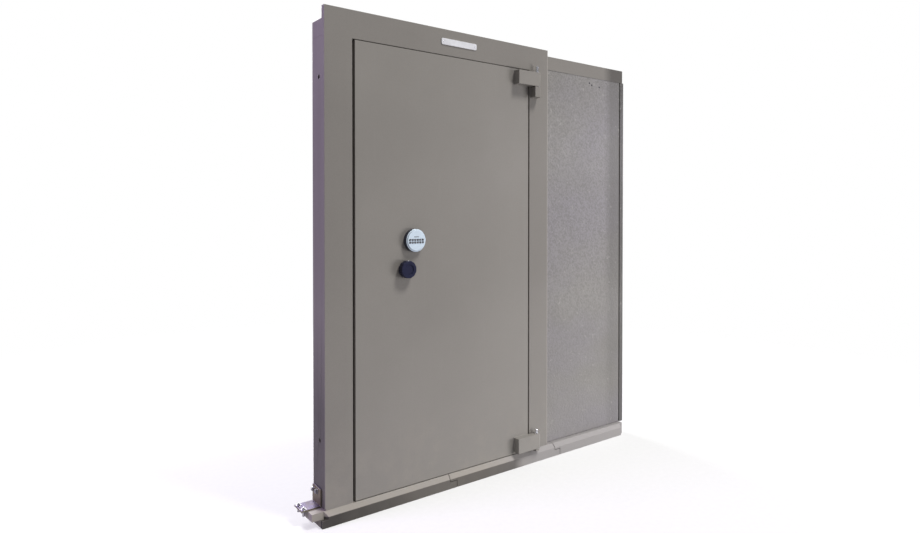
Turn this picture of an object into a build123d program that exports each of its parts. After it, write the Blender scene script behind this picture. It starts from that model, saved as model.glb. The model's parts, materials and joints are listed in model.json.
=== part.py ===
from build123d import *
from math import acos, cos, pi, radians, sin, tan
import os

# Strongroom door set: a hinged security door in its frame, on base rails, with one wall panel.
#
# Frame of the model: millimetres, +Z up, +X to the right as seen from outside, -Y towards the viewer.
# The origin is on the floor, under the middle of the door leaf and half-way through the wall.
# Depths are measured backwards from the outer face of the frame.

os.makedirs("parts", exist_ok=True)

# ---- driving dimensions ------------------------------------------------------------------------

total_height = 2200.0
wall_depth = 125.0
sheet = 3.0

# face plate and opening
plate_left = -654.0
plate_right = 652.0
plate_thickness = 4.0
lip_depth = 24.0
opening_left = -522.0
opening_right = 518.0
opening_top = 2077.0

# frame boxes behind the plate
body_left = plate_left + plate_thickness
body_right = plate_right - plate_thickness
body_top = 2150.0
stop_depth = 62.0
stop_half_width = 500.0
stop_top = 2062.0

# base rails
rail_top = 66.0
rail_pitch = 705.0
lap_height = 33.0
lap_length = 40.0
lap_gap = 3.0
joint_upper = -9.0
nose_projection = 17.0
nose_height = 45.0
nose_left_end = -644.0
nose_right_end = 1251.0
rail_right_end = 1278.0
shim_thickness = 7.0
frame_foot = rail_top + shim_thickness
threshold_top = 80.0

# door leaf
leaf_half_width = 509.0
leaf_bottom = 70.0
leaf_top = 2073.0
leaf_plate = 10.0
tray_back = 60.0
seal_thickness = 1.5

# boltwork box on the back of the leaf
box_half_width = 490.0
box_bottom = 84.0
box_top = 2058.0
box_wall = 4.0
box_back = 103.0
flange_width = 18.0
cover_thickness = 2.0

# hinges
axis_x = 553.0
axis_depth = -20.0
knuckle_radius = 18.5
arm_left = 411.0
arm_clear_x = 505.0
pin_radius = 8.0
running_clearance = 0.05
washer_thickness = 2.0
washer_setback = 1.5
upper_pin_seat = 10.0
lower_pin_seat = 1.0
upper_bracket_left = 525.0
upper_bracket_bottom = 1934.0
upper_bracket_top = 1988.0
upper_arm_top = 2062.0
upper_pin_top = 2098.0
lower_bracket_left = 535.0
lower_bracket_top = 77.0
lower_bracket_setback = 2.0
lower_arm_top = 155.0
lower_pin_top = 178.0

# knob, pinion and racks
knob_x = -254.0
knob_z = 1068.0
knob_radius = 40.0
knob_front = -34.5
knob_back = -7.0
spindle_radius = 7.0
gear_module = 2.0
gear_teeth = 22
dedendum = 1.25 * gear_module
pressure_angle = 20.0
hole_clearance = 0.5
backlash = 0.3
pitch_radius = gear_module * gear_teeth / 2
throw = pitch_radius * pi / 2
bar_layer = (66.0, 74.0)
rod_layer = (76.0, 84.0)
rod_width = 15.5
rod_bolt_radius = 11.0
rod_bolt_length = 66.0
top_rod_inset = 2.0
bottom_rod_proud = 1.0
rod_tooth_count = 10
rod_first_tooth = -1.5
rod_grip = 10.0
rod_depth = sum(rod_layer) / 2

# side bolts
bar_left = -425.0
bar_thickness = 8.0
bar_depths = (66.0, 98.0)
bar_bottom = 350.0
bar_top = 1800.0
side_bolt_radius = 12.5
side_bolt_depth = 84.0
side_bolt_heights = (400.0, 850.0, 1300.0, 1750.0)
side_bolt_tip = -489.0
bolt_play = 1.5
bolt_nose = 2.0
bolt_overrun = 4.0
guide_radius = 14.5
guide_length = 22.0

# fixed dog bolts on the hinge edge
dog_radius = 10.0
dog_depth = 85.0
dog_tip = 517.0
dog_root = 466.0
dog_heights = (300.0, 820.0, 1340.0, 1860.0)
dog_pocket_depths = (66.0, 99.0)
dog_pocket_end = 522.0
dog_pocket_height = 27.0

# keypad
keypad_x = -210.0
keypad_z = 1199.0
keypad_radius = 53.0
keypad_front = -27.0
housing_front = -24.0
housing_wall = 6.0
housing_back_wall = 4.0
face_back = -21.0
key_columns = 6
key_rows = 2
key_pitch_x = 13.8
key_pitch_z = 12.0
key_width = 9.8
key_height = 8.0
key_clearance = 0.3
keys_below_centre = 3.0
key_proud = 1.6
key_back = -20.0

# lock behind the leaf
lock_x = -310.0
lock_width = 60.0
lock_bottom = 1125.0
lock_top = 1210.0
lock_depths = (64.0, 98.0)
lock_bolt_width = 24.0
lock_bolt_bottom = 1110.0
lock_bolt_length = 50.0
lock_channel_top = 1180.0
bar_rack_top = 1108.0
notch_depth = 8.0
lead_x = -183.0
lead_radius = 2.5
lead_depth = 91.0
lead_bend = 31.0

# wall panel
panel_front = 25.0
panel_skin = 2.0
panel_right = 1310.0
panel_top = 2176.0
groove_left = 1275.0
groove_right = 1281.0
groove_depth = 8.0
edging = 3.0
edging_front = 2.0
top_rail_bottom = 2104.0
edge_bar = 13.0

# tie bolts to the neighbouring panels
tie_hole_radius = 9.0
tie_pocket_radius = 12.0
tie_hole_depth = 60.0
tie_hole_heights = (348.0, 1906.0)
tie_pocket_length = 45.0

# floor bracket
bracket_thickness = 6.0
bracket_left = -740.0
bracket_depths = (43.0, 123.0)
bracket_top = 145.0
bracket_side_bolts = ((77.0, 125.0), (112.0, 125.0))
anchor_x = -727.0
anchor_depths = (55.0, 108.0)

# slot in the frame's side, in front of the floor bracket
side_slot_depths = (26.0, 43.0)
side_slot_heights = (78.0, 138.0)
side_slot_length = 40.0

# nameplate
nameplate_x = 54.0
nameplate_z = 2141.0
nameplate_width = 212.0
nameplate_height = 30.0
nameplate_thickness = 4.0
nameplate_bevel = 1.0

# how far a cut runs past the faces it opens
over = 1.0

# ---- helpers -----------------------------------------------------------------------------------
CUT = Mode.SUBTRACT


def y_at(depth):
    """Model Y of a depth behind the outer face."""
    return depth - wall_depth / 2


def front_plane(depth):
    """Drawing plane seen from outside at a depth: local x is X, local y is Z, extrusions come forward."""
    return Plane.XZ.offset(-y_at(depth))


def side_plane(x):
    """Drawing plane across the wall: local x is Y, local y is Z, extrusions go towards +X."""
    return Plane.YZ.offset(x)


def rectangle_between(x_low, x_high, y_low, y_high, mode=Mode.ADD):
    """Rectangle of the current sketch, given by its sides."""
    with Locations(((x_low + x_high) / 2, (y_low + y_high) / 2)):
        Rectangle(x_high - x_low, y_high - y_low, mode=mode)


def save(piece, name):
    """Label a finished piece and write its STEP file."""
    piece.label = name
    export_step(piece, f"parts/{name}.step")


def block_between(x_span, depth_span, z_span, mode=Mode.ADD):
    """Block of the current part, given by its X, depth and Z spans."""
    centre = (sum(x_span) / 2, y_at(sum(depth_span) / 2), sum(z_span) / 2)
    with Locations(centre):
        Box(x_span[1] - x_span[0], depth_span[1] - depth_span[0], z_span[1] - z_span[0], mode=mode)


# ---- frame -------------------------------------------------------------------------------------

with BuildPart() as face_plate:
    with BuildSketch(front_plane(plate_thickness)):
        rectangle_between(plate_left, plate_right, frame_foot, total_height)
        rectangle_between(opening_left, opening_right, frame_foot, opening_top, mode=CUT)
    extrude(amount=plate_thickness)
    with BuildSketch(front_plane(lip_depth)):
        rectangle_between(plate_left, plate_right, frame_foot, total_height)
        rectangle_between(body_left, body_right, frame_foot, total_height - plate_thickness, mode=CUT)
    extrude(amount=lip_depth - plate_thickness)
save(face_plate.part, "face_plate")


def jamb_outline(outer, inner, stop, inset):
    """Plan outline of a jamb: outer side, edge of the opening and edge of the stop, drawn in by inset."""
    side = 1 if inner > outer else -1
    front = y_at(plate_thickness) + inset
    step = y_at(stop_depth) + inset
    back = y_at(wall_depth) - inset
    outer_x = outer + side * inset
    inner_x = inner - side * inset
    stop_x = stop - side * inset
    Polyline(
        (outer_x, front),
        (inner_x, front),
        (inner_x, step),
        (stop_x, step),
        (stop_x, back),
        (outer_x, back),
        close=True,
    )


def round_along_x(x_start, x_end, depth, z, radius, mode=Mode.ADD):
    """Cylinder of the current part that lies along X."""
    with Locations(Location(((x_start + x_end) / 2, y_at(depth), z), (0, 90, 0))):
        Cylinder(radius, abs(x_end - x_start), mode=mode)


def round_along_z(x, depth, z_start, z_end, radius, mode=Mode.ADD):
    """Upright cylinder of the current part."""
    with Locations((x, y_at(depth), (z_start + z_end) / 2)):
        Cylinder(radius, z_end - z_start, mode=mode)


side_bolt_thrown = side_bolt_tip - throw
strike_front = -(stop_half_width + sheet)
strike_thickness = 6.0
strike_depths = (68.0, 100.0)
bolt_hole_radius = side_bolt_radius + bolt_play
bolt_pocket_end = side_bolt_thrown - bolt_overrun

with BuildPart() as lock_side_jamb:
    with BuildSketch(Plane.XY.offset(frame_foot)):
        with BuildLine():
            jamb_outline(body_left, opening_left, -stop_half_width, 0)
        make_face()
    extrude(amount=opening_top - frame_foot)
    with BuildSketch(Plane.XY.offset(frame_foot + sheet)):
        with BuildLine():
            jamb_outline(body_left, opening_left, -stop_half_width, sheet)
        make_face()
    extrude(amount=opening_top - frame_foot - 2 * sheet, mode=CUT)
    for height in side_bolt_heights:
        round_along_x(
            strike_front - over,
            -stop_half_width + over,
            side_bolt_depth,
            height,
            bolt_hole_radius,
            CUT,
        )
    for height in tie_hole_heights:
        round_along_x(
            body_left - over,
            body_left + sheet + over,
            tie_hole_depth,
            height,
            tie_hole_radius,
            CUT,
        )
    block_between((body_left - over, body_left + sheet + over), side_slot_depths, side_slot_heights, CUT)
save(lock_side_jamb.part, "lock_side_jamb")

with BuildPart() as hinge_side_jamb:
    with BuildSketch(Plane.XY.offset(frame_foot)):
        with BuildLine():
            jamb_outline(body_right, opening_right, stop_half_width, 0)
        make_face()
    extrude(amount=opening_top - frame_foot)
    with BuildSketch(Plane.XY.offset(frame_foot + sheet)):
        with BuildLine():
            jamb_outline(body_right, opening_right, stop_half_width, sheet)
        make_face()
    extrude(amount=opening_top - frame_foot - 2 * sheet, mode=CUT)
    for height in dog_heights:
        slot = (height - dog_pocket_height / 2, height + dog_pocket_height / 2)
        block_between((stop_half_width - over, stop_half_width + sheet), dog_pocket_depths, slot, CUT)
save(hinge_side_jamb.part, "hinge_side_jamb")

top_rod_x = knob_x + pitch_radius + dedendum + rod_width / 2
bottom_rod_x = knob_x - pitch_radius - dedendum - rod_width / 2
rod_hole_radius = rod_bolt_radius + bolt_play
top_rod_tip = box_top - top_rod_inset
bottom_rod_tip = box_bottom - bottom_rod_proud
top_rod_hole_end = top_rod_tip + throw + bolt_overrun
bottom_rod_hole_end = bottom_rod_tip - throw - bolt_overrun

with BuildPart() as header_box:
    block_between((body_left, body_right), (plate_thickness, wall_depth), (opening_top, body_top))
    block_between(
        (body_left + sheet, body_right - sheet),
        (plate_thickness + sheet, wall_depth - sheet),
        (opening_top + sheet, body_top - sheet),
        CUT,
    )
    block_between((-stop_half_width, stop_half_width), (stop_depth, wall_depth), (stop_top, opening_top))
    round_along_z(
        top_rod_x,
        rod_depth,
        stop_top - over,
        opening_top + sheet + over,
        rod_hole_radius,
        CUT,
    )
save(header_box.part, "header_box")

with BuildPart() as frame_infill:
    with BuildSketch(Plane.XY.offset(frame_foot + sheet)):
        with BuildLine():
            jamb_outline(body_left, opening_left, -stop_half_width, sheet)
        make_face()
        with BuildLine():
            jamb_outline(body_right, opening_right, stop_half_width, sheet)
        make_face()
    extrude(amount=opening_top - frame_foot - 2 * sheet)
    block_between(
        (body_left + sheet, body_right - sheet),
        (plate_thickness + sheet, wall_depth - sheet),
        (opening_top + sheet, body_top - sheet),
    )
    round_along_z(top_rod_x, rod_depth, opening_top, top_rod_hole_end, rod_hole_radius, CUT)
    block_between(
        (strike_front - strike_thickness, strike_front + over),
        strike_depths,
        (bar_bottom, bar_top),
        CUT,
    )
    for height in side_bolt_heights:
        round_along_x(bolt_pocket_end, strike_front, side_bolt_depth, height, bolt_hole_radius, CUT)
    for height in tie_hole_heights:
        round_along_x(
            body_left,
            body_left + tie_pocket_length,
            tie_hole_depth,
            height,
            tie_pocket_radius,
            CUT,
        )
    for height in dog_heights:
        slot = (height - dog_pocket_height / 2, height + dog_pocket_height / 2)
        block_between((stop_half_width, dog_pocket_end), dog_pocket_depths, slot, CUT)
    block_between((body_left, body_left + side_slot_length), side_slot_depths, side_slot_heights, CUT)
save(frame_infill.part, "frame_infill")

with BuildPart() as strike_plate:
    block_between((strike_front - strike_thickness, strike_front), strike_depths, (bar_bottom, bar_top))
    for height in side_bolt_heights:
        round_along_x(
            strike_front - strike_thickness - over,
            strike_front + over,
            side_bolt_depth,
            height,
            bolt_hole_radius,
            CUT,
        )
save(strike_plate.part, "strike_plate")

with BuildPart() as jamb_shims:
    block_between((body_left, opening_left), (0, wall_depth), (rail_top, frame_foot))
    block_between((opening_right, body_right), (0, wall_depth), (rail_top, frame_foot))
save(jamb_shims.part, "jamb_shims")

with BuildPart() as threshold:
    block_between((-stop_half_width, stop_half_width), (stop_depth, wall_depth), (rail_top, threshold_top))
    round_along_z(bottom_rod_x, rod_depth, rail_top - over, threshold_top + over, rod_hole_radius, CUT)
save(threshold.part, "threshold")

seal_inset = 1.0
seal_outer = leaf_half_width - seal_inset
seal_inner = stop_half_width + seal_inset

with BuildPart() as door_seal:
    with BuildSketch(front_plane(stop_depth)):
        rectangle_between(-seal_outer, seal_outer, leaf_bottom + seal_inset, leaf_top - seal_inset)
        rectangle_between(
            -seal_inner,
            seal_inner,
            threshold_top - seal_inset,
            stop_top + seal_inset,
            mode=CUT,
        )
    extrude(amount=seal_thickness)
save(door_seal.part, "door_seal")

# ---- base rails --------------------------------------------------------------------------------

joint_lower = joint_upper + lap_length


def rail_section(z_low, z_high):
    """Section of a rail between two heights, with its nose in front of the frame's face."""
    nose_y = y_at(-nose_projection)
    points = [(y_at(wall_depth), z_low), (nose_y, z_low), (nose_y, min(z_high, nose_height))]
    if z_high > nose_height:
        points.append((y_at(0), rail_top))
    points.append((y_at(wall_depth), z_high))
    Polygon(*points, align=None)


def make_rail(upper_span, lower_span):
    """Rail whose upper and lower halves start and end at different places, so that rails half-lap."""
    core_span = (max(upper_span[0], lower_span[0]), min(upper_span[1], lower_span[1]))
    with BuildPart() as rail:
        with BuildSketch(side_plane(core_span[0])):
            rail_section(0, rail_top)
        extrude(amount=core_span[1] - core_span[0])
        with BuildSketch(side_plane(upper_span[0])):
            rail_section(lap_height + lap_gap / 2, rail_top)
        extrude(amount=upper_span[1] - upper_span[0])
        with BuildSketch(side_plane(lower_span[0])):
            rail_section(0, lap_height - lap_gap / 2)
        extrude(amount=lower_span[1] - lower_span[0])
    return rail.part


nose_depths = (-nose_projection - over, 0)
mitre_start = nose_left_end - nose_projection

with BuildPart() as base_rail_left:
    add(make_rail(
        (joint_upper - rail_pitch, joint_upper - lap_gap),
        (joint_lower - rail_pitch, joint_lower - lap_gap),
    ))
    block_between((joint_upper - rail_pitch, mitre_start), nose_depths, (lap_height, rail_top), CUT)
    with BuildSketch(Plane.XY.offset(lap_height)):
        Polygon(
            (mitre_start, y_at(0)),
            (mitre_start, y_at(-nose_projection)),
            (nose_left_end, y_at(-nose_projection)),
            align=None,
        )
    extrude(amount=rail_top - lap_height, mode=CUT)
    round_along_z(bottom_rod_x, rod_depth, bottom_rod_hole_end, rail_top + over, rod_hole_radius, CUT)
save(base_rail_left.part, "base_rail_left")

with BuildPart() as base_rail_middle:
    add(make_rail(
        (joint_upper, joint_upper + rail_pitch - lap_gap),
        (joint_lower, joint_lower + rail_pitch - lap_gap),
    ))
save(base_rail_middle.part, "base_rail_middle")

with BuildPart() as base_rail_right:
    add(make_rail((joint_upper + rail_pitch, rail_right_end), (joint_lower + rail_pitch, rail_right_end)))
    block_between((nose_right_end, rail_right_end + over), nose_depths, (-over, rail_top + over), CUT)
save(base_rail_right.part, "base_rail_right")

# ---- hinges ------------------------------------------------------------------------------------

axis_y = y_at(axis_depth)
proud = knuckle_radius - axis_depth


def fixed_bracket_outline(left, front_depth):
    """Plan outline of a fixed hinge half: a block on the face plate with a rounded outer corner."""
    front = y_at(front_depth)
    right = axis_x + knuckle_radius
    Polyline(
        (axis_x, front),
        (left, front),
        (left, y_at(0)),
        (right, y_at(0)),
        (right, front + knuckle_radius),
    )
    ThreePointArc(
        (right, front + knuckle_radius),
        (axis_x + knuckle_radius * sin(pi / 4), front + knuckle_radius * (1 - cos(pi / 4))),
        (axis_x, front),
    )


def make_arm(z_low, z_high):
    """Moving hinge half: a bar on the leaf that ends in a round knuckle, clear of the face plate."""
    front = y_at(-proud)
    clear = y_at(axis_depth + knuckle_radius)
    with BuildPart() as arm:
        with BuildSketch(Plane.XY.offset(z_low)):
            with BuildLine():
                Polyline(
                    (axis_x, clear),
                    (arm_clear_x, clear),
                    (arm_clear_x, y_at(0)),
                    (arm_left, y_at(0)),
                    (arm_left, front),
                    (axis_x, front),
                )
                ThreePointArc((axis_x, front), (axis_x + knuckle_radius, axis_y), (axis_x, clear))
            make_face()
        extrude(amount=z_high - z_low)
        round_along_z(axis_x, axis_depth, z_low - over, z_high + over, pin_radius + running_clearance, CUT)
    return arm.part


upper_arm_bottom = upper_bracket_top + washer_thickness
lower_arm_bottom = lower_bracket_top + washer_thickness
upper_pin_bottom = upper_bracket_bottom + upper_pin_seat
lower_pin_bottom = rail_top + lower_pin_seat
collar_radius = 11.0
collar_height = 4.0
collar_gap = 0.3
pin_chamfer = 2.0

with BuildPart() as upper_hinge_bracket:
    with BuildSketch(Plane.XY.offset(upper_bracket_bottom)):
        with BuildLine():
            fixed_bracket_outline(upper_bracket_left, -proud)
        make_face()
    extrude(amount=upper_bracket_top - upper_bracket_bottom)
    round_along_z(axis_x, axis_depth, upper_pin_bottom, upper_bracket_top + over, pin_radius, CUT)
save(upper_hinge_bracket.part, "upper_hinge_bracket")

with BuildPart() as lower_hinge_bracket:
    with BuildSketch(Plane.XY.offset(rail_top)):
        with BuildLine():
            fixed_bracket_outline(lower_bracket_left, lower_bracket_setback - proud)
        make_face()
    extrude(amount=lower_bracket_top - rail_top)
    round_along_z(axis_x, axis_depth, lower_pin_bottom, lower_bracket_top + over, pin_radius, CUT)
save(lower_hinge_bracket.part, "lower_hinge_bracket")

save(make_arm(upper_arm_bottom, upper_arm_top), "upper_hinge_arm")
save(make_arm(lower_arm_bottom, lower_arm_top), "lower_hinge_arm")


def hinge_pin(z_low, z_high, arm_top):
    """Pin of the current part, with a collar above the arm and a chamfered top."""
    round_along_z(axis_x, axis_depth, z_low, z_high - pin_chamfer, pin_radius)
    with Locations((axis_x, axis_y, z_high - pin_chamfer / 2)):
        Cone(pin_radius, pin_radius - pin_chamfer, pin_chamfer)
    collar_bottom = arm_top + collar_gap
    round_along_z(axis_x, axis_depth, collar_bottom, collar_bottom + collar_height, collar_radius)


with BuildPart() as hinge_pins:
    hinge_pin(upper_pin_bottom, upper_pin_top, upper_arm_top)
    hinge_pin(lower_pin_bottom, lower_pin_top, lower_arm_top)
save(hinge_pins.part, "hinge_pins")

washer_bore = pin_radius + 2 * running_clearance

with BuildPart() as thrust_washers:
    for washer_bottom in (upper_bracket_top, lower_bracket_top):
        washer_top = washer_bottom + washer_thickness
        round_along_z(axis_x, axis_depth, washer_bottom, washer_top, knuckle_radius - washer_setback)
        round_along_z(axis_x, axis_depth, washer_bottom - over, washer_top + over, washer_bore, CUT)
save(thrust_washers.part, "thrust_washers")

# ---- wall panel --------------------------------------------------------------------------------

panel_gap = 0.5
skin_left = body_right + panel_gap
core_right = panel_right - edge_bar
plug_radius = 5.0
plug_height = 1.5
plug_taper = 40
panel_screw_places = ((1012.0, 2072.0), (1031.0, 2062.0), (1095.0, 2058.0))
front_span = (skin_left, groove_left)
skin_heights = (rail_top, panel_top - edging)

with BuildPart() as panel_front_skin:
    block_between(front_span, (panel_front, panel_front + panel_skin), skin_heights)
save(panel_front_skin.part, "panel_front_skin")

with BuildPart() as panel_back_skin:
    block_between((skin_left, core_right), (wall_depth - panel_skin, wall_depth), skin_heights)
save(panel_back_skin.part, "panel_back_skin")

core_depths = (panel_front + panel_skin, wall_depth - panel_skin)
tie_pocket = (core_right - tie_pocket_length, core_right + over)

with BuildPart() as panel_core:
    block_between((skin_left, core_right), core_depths, skin_heights)
    block_between(
        (groove_left, core_right + over),
        (panel_front, panel_front + groove_depth),
        (rail_top - over, top_rail_bottom),
        CUT,
    )
    for height in tie_hole_heights:
        round_along_x(*tie_pocket, tie_hole_depth, height, tie_pocket_radius, CUT)
save(panel_core.part, "panel_core")

rail_span = (plate_right + 2 * panel_gap, core_right + edging)
front_flange = (panel_front - edging_front, panel_front)
back_flange = (wall_depth, wall_depth + edging_front)
cap_depths = (front_flange[0], back_flange[1])
flange_heights = (top_rail_bottom, panel_top)

with BuildPart() as panel_top_rail:
    block_between(rail_span, front_flange, flange_heights)
    block_between(rail_span, back_flange, flange_heights)
    block_between(rail_span, cap_depths, (panel_top - edging, panel_top))
    block_between((core_right, core_right + edging), cap_depths, flange_heights)
save(panel_top_rail.part, "panel_top_rail")

channel_span = (groove_right, panel_right)
bar_span = (core_right, panel_right)
channel_heights = (rail_top, top_rail_bottom)

with BuildPart() as panel_edge_channel:
    block_between(channel_span, (front_flange[0], panel_front + groove_depth), channel_heights)
    block_between(channel_span, back_flange, channel_heights)
    block_between(bar_span, (panel_front, wall_depth), channel_heights)
    for height in tie_hole_heights:
        round_along_x(core_right - over, panel_right + over, tie_hole_depth, height, tie_hole_radius, CUT)
save(panel_edge_channel.part, "panel_edge_channel")

with BuildPart() as panel_screws:
    for x, z in panel_screw_places:
        with BuildSketch(front_plane(panel_front)):
            with Locations((x, z)):
                Circle(plug_radius)
        extrude(amount=plug_height, taper=plug_taper)
save(panel_screws.part, "panel_screws")

# ---- floor bracket and nameplate ---------------------------------------------------------------

bolt_shank_radius = 6.0
bolt_head_radius = 9.5
bolt_head_height = 8.0
anchor_radius = 5.0
anchor_head_radius = 8.5
anchor_head_height = 7.0
anchor_below = 22.0
bracket_foot_top = rail_top + bracket_thickness
bracket_face = body_left - bracket_thickness

with BuildPart() as floor_bracket:
    block_between((bracket_face, body_left), bracket_depths, (rail_top, bracket_top))
    block_between((bracket_left, body_left), bracket_depths, (rail_top, bracket_foot_top))
    for depth, height in bracket_side_bolts:
        round_along_x(bracket_face - over, body_left + over, depth, height, bolt_shank_radius, CUT)
    for depth in anchor_depths:
        round_along_z(anchor_x, depth, rail_top - over, bracket_foot_top + over, anchor_radius, CUT)
save(floor_bracket.part, "floor_bracket")

with BuildPart() as bracket_bolts:
    for depth, height in bracket_side_bolts:
        round_along_x(bracket_face, body_left, depth, height, bolt_shank_radius)
        with BuildSketch(side_plane(bracket_face - bolt_head_height)):
            with Locations((y_at(depth), height)):
                RegularPolygon(bolt_head_radius, 6)
        extrude(amount=bolt_head_height)
    for depth in anchor_depths:
        round_along_z(anchor_x, depth, rail_top - anchor_below, bracket_foot_top, anchor_radius)
        with BuildSketch(Plane.XY.offset(bracket_foot_top)):
            with Locations((anchor_x, y_at(depth))):
                RegularPolygon(anchor_head_radius, 6)
        extrude(amount=anchor_head_height)
save(bracket_bolts.part, "bracket_bolts")

with BuildPart() as nameplate:
    with BuildSketch(front_plane(0)):
        with Locations((nameplate_x, nameplate_z)):
            RectangleRounded(nameplate_width, nameplate_height, nameplate_height / 4)
    extrude(amount=nameplate_thickness)
    chamfer(nameplate.faces().sort_by(Axis.Y)[0].edges(), length=nameplate_bevel)
save(nameplate.part, "nameplate")

# ---- door leaf ---------------------------------------------------------------------------------

spindle_hole = spindle_radius + hole_clearance
lead_hole = lead_radius + 2 * hole_clearance
leaf_span = (-leaf_half_width, leaf_half_width)
leaf_heights = (leaf_bottom, leaf_top)


def along_depth(x, z, depth_front, depth_back, radius, mode=Mode.ADD):
    """Cylinder of the current part that runs through the wall."""
    centre = (x, y_at((depth_front + depth_back) / 2), z)
    with Locations(Location(centre, (90, 0, 0))):
        Cylinder(radius, depth_back - depth_front, mode=mode)


def leaf_holes(depth_front, depth_back):
    """Holes for the knob's spindle and the keypad's lead through a layer of the leaf."""
    along_depth(knob_x, knob_z, depth_front, depth_back, spindle_hole, CUT)
    along_depth(lead_x, keypad_z, depth_front, depth_back, lead_hole, CUT)


with BuildPart() as door_front_plate:
    block_between(leaf_span, (0, leaf_plate), leaf_heights)
    leaf_holes(-over, leaf_plate + over)
save(door_front_plate.part, "door_front_plate")

tray_inner = leaf_half_width - sheet
tray_inner_heights = (leaf_bottom + sheet, leaf_top - sheet)

with BuildPart() as door_tray:
    block_between(leaf_span, (leaf_plate, tray_back), leaf_heights)
    block_between(
        (-tray_inner, tray_inner),
        (leaf_plate - over, tray_back - sheet),
        tray_inner_heights,
        CUT,
    )
    leaf_holes(leaf_plate - over, tray_back + over)
save(door_tray.part, "door_tray")

with BuildPart() as door_infill:
    block_between((-tray_inner, tray_inner), (leaf_plate, tray_back - sheet), tray_inner_heights)
    leaf_holes(leaf_plate - over, tray_back)
save(door_infill.part, "door_infill")

box_inner = box_half_width - box_wall
screw_radius = 2.5
screw_inset = 9.0
screw_length = 10.0
screw_head_radius = 5.0
screw_head_height = 3.0
screw_column_x = box_half_width - box_wall - screw_inset
screw_top_z = box_top - box_wall - screw_inset
screw_bottom_z = box_bottom + box_wall + screw_inset
side_screws = 6
end_screws = 4
screw_step_z = (screw_top_z - screw_bottom_z) / (side_screws - 1)
screw_step_x = 2 * screw_column_x / (end_screws + 1)
screw_places = [
    (side * screw_column_x, screw_bottom_z + step * screw_step_z)
    for side in (-1, 1)
    for step in range(side_screws)
]
screw_places += [
    (-screw_column_x + step * screw_step_x, z)
    for z in (screw_bottom_z, screw_top_z)
    for step in range(1, end_screws + 1)
]

with BuildPart() as boltwork_frame:
    block_between((-box_half_width, box_half_width), (tray_back, box_back), (box_bottom, box_top))
    block_between(
        (-box_inner, box_inner),
        (tray_back - over, box_back - box_wall),
        (box_bottom + box_wall, box_top - box_wall),
        CUT,
    )
    block_between(
        (-box_inner + flange_width, box_inner - flange_width),
        (box_back - box_wall - over, box_back + over),
        (box_bottom + box_wall + flange_width, box_top - box_wall - flange_width),
        CUT,
    )
    for height in side_bolt_heights:
        round_along_x(
            -box_half_width - over,
            -box_inner + over,
            side_bolt_depth,
            height,
            guide_radius,
            CUT,
        )
    for height in dog_heights:
        round_along_x(box_inner - over, box_half_width + over, dog_depth, height, dog_radius, CUT)
    top_wall = (box_top - box_wall - over, box_top + over)
    bottom_wall = (box_bottom - over, box_bottom + box_wall + over)
    round_along_z(top_rod_x, rod_depth, *top_wall, guide_radius, CUT)
    round_along_z(bottom_rod_x, rod_depth, *bottom_wall, guide_radius, CUT)
    for x, z in screw_places:
        along_depth(x, z, box_back - box_wall - over, box_back + over, screw_radius, CUT)
save(boltwork_frame.part, "boltwork_frame")

cover_inset = 1.0
cover_half_width = box_half_width - cover_inset
cover_heights = (box_bottom + cover_inset, box_top - cover_inset)
cover_depths = (box_back, box_back + cover_thickness)

with BuildPart() as rear_cover:
    block_between((-cover_half_width, cover_half_width), cover_depths, cover_heights)
    for x, z in screw_places:
        along_depth(x, z, box_back - over, box_back + cover_thickness + over, screw_radius, CUT)
save(rear_cover.part, "rear_cover")

screw_seat = box_back + cover_thickness

with BuildPart() as cover_screws:
    for x, z in screw_places:
        along_depth(x, z, screw_seat - screw_length, screw_seat, screw_radius)
        along_depth(x, z, screw_seat, screw_seat + screw_head_height, screw_head_radius)
save(cover_screws.part, "cover_screws")

with BuildPart() as dog_bolts:
    for height in dog_heights:
        round_along_x(dog_root, dog_tip, dog_depth, height, dog_radius)
    chamfer(dog_bolts.faces().filter_by(Axis.X).group_by(Axis.X)[-1].edges(), length=bolt_nose)
save(dog_bolts.part, "dog_bolts")

with BuildPart() as bolt_guides:
    side_bore = side_bolt_radius + running_clearance
    rod_bore = rod_bolt_radius + running_clearance
    side_end = -box_half_width + guide_length
    for height in side_bolt_heights:
        round_along_x(-box_half_width, side_end, side_bolt_depth, height, guide_radius)
        round_along_x(
            -box_half_width - over,
            side_end + over,
            side_bolt_depth,
            height,
            side_bore,
            CUT,
        )
    top_guide = (box_top - guide_length, box_top)
    bottom_guide = (box_bottom, box_bottom + guide_length)
    for x, guide in ((top_rod_x, top_guide), (bottom_rod_x, bottom_guide)):
        round_along_z(x, rod_depth, *guide, guide_radius)
        round_along_z(x, rod_depth, guide[0] - over, guide[1] + over, rod_bore, CUT)
save(bolt_guides.part, "bolt_guides")

# ---- outside fittings --------------------------------------------------------------------------

rose_radius = 34.0
rose_front = -6.0
rose_bevel = 1.5
housing_round = 4.0
face_bevel = 1.2
key_corner = 1.3
key_round = 0.6

with BuildPart() as knob_rose:
    along_depth(knob_x, knob_z, rose_front, 0, rose_radius)
    chamfer(knob_rose.faces().sort_by(Axis.Y)[0].edges(), length=rose_bevel)
    along_depth(knob_x, knob_z, rose_front - over, over, spindle_hole, CUT)
save(knob_rose.part, "knob_rose")

with BuildPart() as keypad_housing:
    along_depth(keypad_x, keypad_z, housing_front, 0, keypad_radius)
    fillet(keypad_housing.faces().sort_by(Axis.Y)[0].edges(), radius=housing_round)
    along_depth(
        keypad_x,
        keypad_z,
        housing_front - over,
        -housing_back_wall,
        keypad_radius - housing_wall,
        CUT,
    )
    along_depth(lead_x, keypad_z, -housing_back_wall - over, over, lead_hole, CUT)
save(keypad_housing.part, "keypad_housing")

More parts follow.
